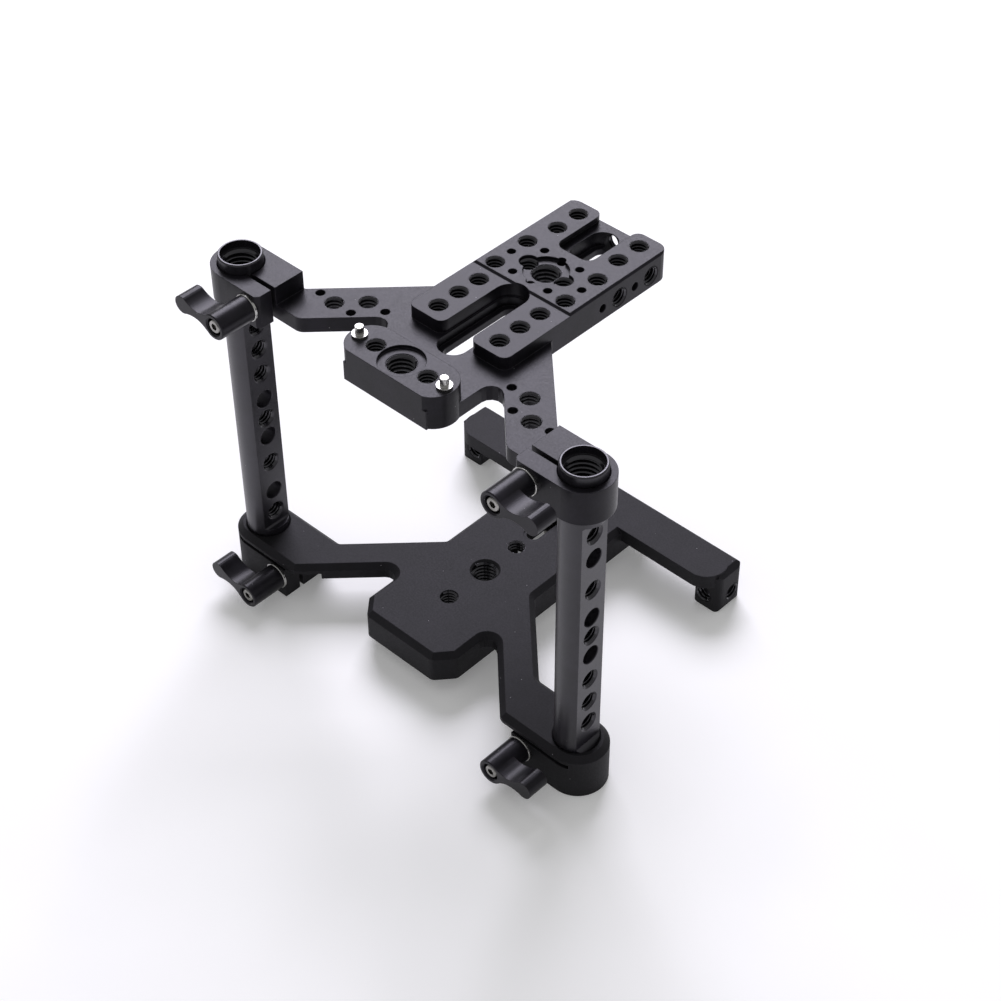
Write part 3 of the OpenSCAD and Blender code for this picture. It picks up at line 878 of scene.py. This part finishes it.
@dataclass
class CameraScrew:
    """The captive camera screw, with a coin-edged head, a coin slot, a hex socket and a cut thread.

    Attributes:
        y: Place of the screw from front to back.
        head_low: Underside of the head.
        head_high: Top of the head.
        head_r: Radius of the head.
        notches: Twice the number of notches round the head's edge.
        notch: Radius at the bottom of a notch as a share of the head's.
        slot_width: Width of the coin slot.
        slot_depth: Depth of the coin slot.
        socket_r: Radius of the hex socket over its corners.
        socket_depth: Depth of the hex socket.
        neck_r: Radius of the neck.
        thread_low: Lower end of the thread.
        thread_high: Upper end of the thread.
    """

    y: float = 40.0
    head_low: float = CHANNEL - 5.7
    head_high: float = CHANNEL - 1.6
    head_r: float = 6.25
    notches: int = 96
    notch: float = 0.965
    slot_width: float = 1.2
    slot_depth: float = 1.5
    socket_r: float = 2.9
    socket_depth: float = 2.7
    neck_r: float = 2.4
    thread_low: float = 11.65
    thread_high: float = 16.55

    def head(self) -> bpy.types.Object:
        """Models the head: its edge is notched like a coin's, its underside has the slot and the socket.

        Returns:
            The head, about the Z axis.
        """
        head = cylinder("camera_screw_head", self.head_r, self.head_low, self.head_high, self.notches)
        for vertex in head.data.vertices:
            turn = math.atan2(vertex.co.y, vertex.co.x) / (2 * math.pi)
            vertex.select = round(turn * self.notches) % 2 == 0
        for edge in head.data.edges:
            edge.select = False
        for face in head.data.polygons:
            face.select = False
        bpy.ops.object.mode_set(mode="EDIT")
        bpy.ops.mesh.select_mode(type="VERT")
        bpy.ops.transform.resize(value=(self.notch, self.notch, 1.0), center_override=(0, 0, 0))
        bpy.ops.object.mode_set(mode="OBJECT")
        deselect()
        slot_low = self.head_low - 0.3
        slot_high = self.head_low + self.slot_depth
        bpy.ops.mesh.primitive_cube_add(size=1, location=(0, 0, (slot_low + slot_high) / 2 * MM))
        slot = bpy.context.object
        slot.scale = (2.4 * self.head_r * MM, self.slot_width * MM, (slot_high - slot_low) * MM)
        cut(head, settle(slot))
        cut(head, cylinder("socket", self.socket_r, self.head_low - 1,
                           self.head_low + self.socket_depth, 6))
        return head

    def build(self, steel: bpy.types.Material) -> None:
        """Models the screw in place of its plain solid and dresses the washer.

        Args:
            steel: Their finish.
        """
        head = self.head()
        neck = cylinder("neck", self.neck_r, self.head_high - 0.1, self.thread_low + 0.3)
        core = cylinder("core", QUARTER.minor_r, self.thread_low, self.thread_high + 0.5)
        pick(core)
        bevel = core.modifiers.new("tip", "BEVEL")
        bevel.width = 0.3 * MM
        bevel.segments = 2
        bpy.ops.object.modifier_apply(modifier="tip")
        ridge = helix("ridge", QUARTER.minor_r, QUARTER.major_r, QUARTER.pitch,
                      self.thread_high - self.thread_low)
        ridge.matrix_world = Matrix.Translation((0, 0, self.thread_low * MM))
        settle(ridge)
        piece = join("camera_screw_threaded", [head, neck, core, ridge])
        piece.matrix_world = Matrix.Translation((0, self.y * MM, 0))
        settle(piece)
        bpy.ops.object.shade_smooth_by_angle(angle=math.radians(35))
        dress(piece, steel)
        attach(piece, "camera_screw")
        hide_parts("camera_screw")
        dress(NODES["camera_screw_washer"], steel)
        log.info("camera screw done, %d faces", len(piece.data.polygons))


# Studio


@dataclass
class Lamp:
    """A soft box that faces the cage.

    Attributes:
        name: Its name.
        toward: Direction from the cage to the lamp.
        distance: In metres.
        size: Width of the box, in metres.
        radiance: Brightness of its face.
        colour: Hex colour of its light.
    """

    name: str
    toward: tuple[float, float, float]
    distance: float
    size: float
    radiance: float
    colour: str = "ffffff"

    def build(self, target: Vector) -> None:
        """Hangs the lamp.

        Args:
            target: The point that it faces.
        """
        data = bpy.data.lights.new(self.name, "AREA")
        data.shape = "SQUARE"
        data.size = self.size
        data.energy = self.radiance * math.pi * self.size ** 2
        data.color = linear(self.colour)[:3]
        obj = bpy.data.objects.new(self.name, data)
        bpy.context.collection.objects.link(obj)
        away = Vector(self.toward).normalized()
        obj.matrix_world = turned_to(away, target + away * self.distance)


@dataclass
class Studio:
    """Pale floor, soft light and the camera at the photograph's angle.

    Attributes:
        azimuth: Camera azimuth in degrees, from the front towards the right.
        elevation: Camera elevation in degrees.
        roll: Camera roll in degrees.
        eye: Camera position in mm.
        focal_px: Focal length in pixels of a frame frame_px wide.
        frame_px: Width of the photograph.
        floor_z: Height of the floor in mm.
        floor_lift: What is added to the floor's own brightness for the eye.
        floor_size: Width of the floor in metres.
        room: Brightness of the room.
        aim: The point that the lamps face, in metres.
        lamps: The soft boxes.
    """

    azimuth: float = 43.577
    elevation: float = 42.614
    roll: float = -0.358
    eye: tuple[float, float, float] = (374.91, -385.99, 539.58)
    focal_px: float = 2153.2
    frame_px: float = 1001.0
    floor_z: float = -6.2
    floor_lift: float = 0.15
    floor_size: float = 8.0
    room: float = 0.42
    aim: tuple[float, float, float] = (0, 0, 0.06)
    lamps: list[Lamp] = field(default_factory=lambda: [
        Lamp("key_box", (-0.507, 0.533, 0.677), 3.0, 1.75, 9.5, "f6f3ff"),
    ])

    def camera(self) -> None:
        """Sets up the camera."""
        a, e, r = (math.radians(v) for v in (self.azimuth, self.elevation, self.roll))
        back = Vector((math.sin(a) * math.cos(e), -math.cos(a) * math.cos(e), math.sin(e)))
        right = Vector((math.cos(a), math.sin(a), 0.0))
        up = back.cross(right)
        right, up = right * math.cos(r) + up * math.sin(r), up * math.cos(r) - right * math.sin(r)
        data = bpy.data.cameras.new("view")
        data.sensor_width = 36.0
        data.lens = self.focal_px * 36.0 / self.frame_px
        data.clip_start = 0.01
        data.clip_end = 20.0
        obj = bpy.data.objects.new("view", data)
        bpy.context.collection.objects.link(obj)
        turn = Matrix((right, up, back)).transposed().to_4x4()
        obj.matrix_world = Matrix.Translation(Vector(self.eye) * MM) @ turn
        bpy.context.scene.camera = obj

    def floor(self) -> None:
        """Lays the pale floor."""
        deselect()
        bpy.ops.mesh.primitive_plane_add(size=self.floor_size, location=(0, 0, self.floor_z * MM))
        obj = bpy.context.object
        obj.name = "studio_floor"
        settle(obj)
        material = bpy.data.materials.new("pale_floor")
        material.use_nodes = True
        tree = material.node_tree
        tree.nodes.clear()
        place = add(tree, "ShaderNodeTexCoord").outputs["Object"]
        # Faint patches 60 mm wide, as in a paper sweep.
        tone = add(tree, "ShaderNodeTexNoise", inputs={
            "Vector": place, "Scale": per_mm(60.0), "Detail": 2.0})
        colour = ramp(tree, tone.outputs["Fac"], [(0.3, linear("f4f4f4")), (0.7, linear("f8f8f8"))])
        matt = add(tree, "ShaderNodeBsdfDiffuse", inputs={"Color": colour})
        # The lift shows to the eye and in reflections, and lights nothing; shadows stay on the floor.
        ray = add(tree, "ShaderNodeLightPath").outputs
        seen = add(tree, "ShaderNodeMath", {"operation": "MAXIMUM"},
                   {0: ray["Is Camera Ray"], 1: ray["Is Glossy Ray"]})
        seen = add(tree, "ShaderNodeMath", {"operation": "MAXIMUM"},
                   {0: seen.outputs["Value"], 1: ray["Is Transmission Ray"]})
        lift = add(tree, "ShaderNodeMath", {"operation": "MULTIPLY"},
                   {0: seen.outputs["Value"], 1: self.floor_lift})
        glow = add(tree, "ShaderNodeEmission",
                   inputs={"Color": grey(1.0), "Strength": lift.outputs["Value"]})
        both = add(tree, "ShaderNodeAddShader",
                   inputs={0: matt.outputs["BSDF"], 1: glow.outputs["Emission"]})
        add(tree, "ShaderNodeOutputMaterial", inputs={"Surface": both.outputs["Shader"]})
        dress(obj, material)

    def world(self) -> None:
        """Makes the room, a plain soft grey light from all sides."""
        world = bpy.data.worlds.new("room")
        bpy.context.scene.world = world
        world.use_nodes = True
        tree = world.node_tree
        tree.nodes.clear()
        sky = add(tree, "ShaderNodeBackground", inputs={"Color": grey(1.0), "Strength": self.room})
        add(tree, "ShaderNodeOutputWorld", inputs={"Surface": sky.outputs["Background"]})

    def build(self) -> None:
        """Builds the whole studio."""
        bpy.context.scene.view_settings.view_transform = "Standard"
        self.camera()
        self.floor()
        self.world()
        for lamp in self.lamps:
            lamp.build(Vector(self.aim))
        log.info("studio done")


def main() -> None:
    """Dresses the cage, adds its fine pieces and lights it."""
    blasted = BlackAnodised("black_anodised_bead_blasted_aluminium", sheen_level=0.18).material()
    # The base plate's dye, 0a0a0b to 121114, is darker than the top plate's: painted shade over the base.
    plank = BlackAnodised("black_anodised_base_painted_shade", dark="0a0a0b", light="121114",
                          smooth=0.6, rough=0.7, sheen_level=0.3).material()
    turned = BlackAnodised("black_anodised_turned_aluminium", marks=Marks.TURNED_Z, bump=0.22,
                           smooth=0.3, rough=0.4, sheen_level=0.68, edge_mm=0.15,
                           edge="3c3a40").material()
    milled = BlackAnodised("black_anodised_milled_lever", marks=Marks.TURNED_Y, bump=0.06,
                           smooth=0.28, rough=0.36, sheen_level=0.21, edge_mm=0.2).material()
    # The threads' dye, up to 161518, is darker than the top plate's: painted shade inside the holes.
    tapped = BlackAnodised("black_anodised_tapped_thread", light="161518", bump=0.05,
                           smooth=0.1, rough=0.2, sheen_level=0.8, edge_mm=0.08).material()
    # This copy of stainless steel, 74736f to a09e9b, is darker than the pins': painted shade on the studs,
    # lever screws and springs.
    steel = Stainless("turned_stainless_steel_painted_shade", marks=Marks.TURNED_Y, dark="74736f", light="a09e9b",
                      edge_mm=0.12).material()
    pins = Stainless("turned_stainless_pin", marks=Marks.TURNED_Z, edge_mm=0.15).material()

    TopPlate().build(blasted, tapped, pins)
    BasePlate().build(plank, tapped)
    Rod("right", 1, (21.6, 31.2, 41.6, 61.2, 81.1, 104.0)).build(turned, tapped)
    Rod("left", -1, (102.4, 92.8, 82.4, 62.8, 42.9, 20.0)).build(turned, tapped)
    for side, sign in (("right", 1), ("left", -1)):
        ClampLever(f"upper_{side}", sign * 60.5, -44.9, 120.55).build(milled, steel, pins)
        ClampLever(f"lower_{side}", sign * 59.0, -45.4, 2.1).build(milled, steel, pins)
    CameraScrew().build(pins)
    Studio().build()


if __name__ == "__main__":
    main()
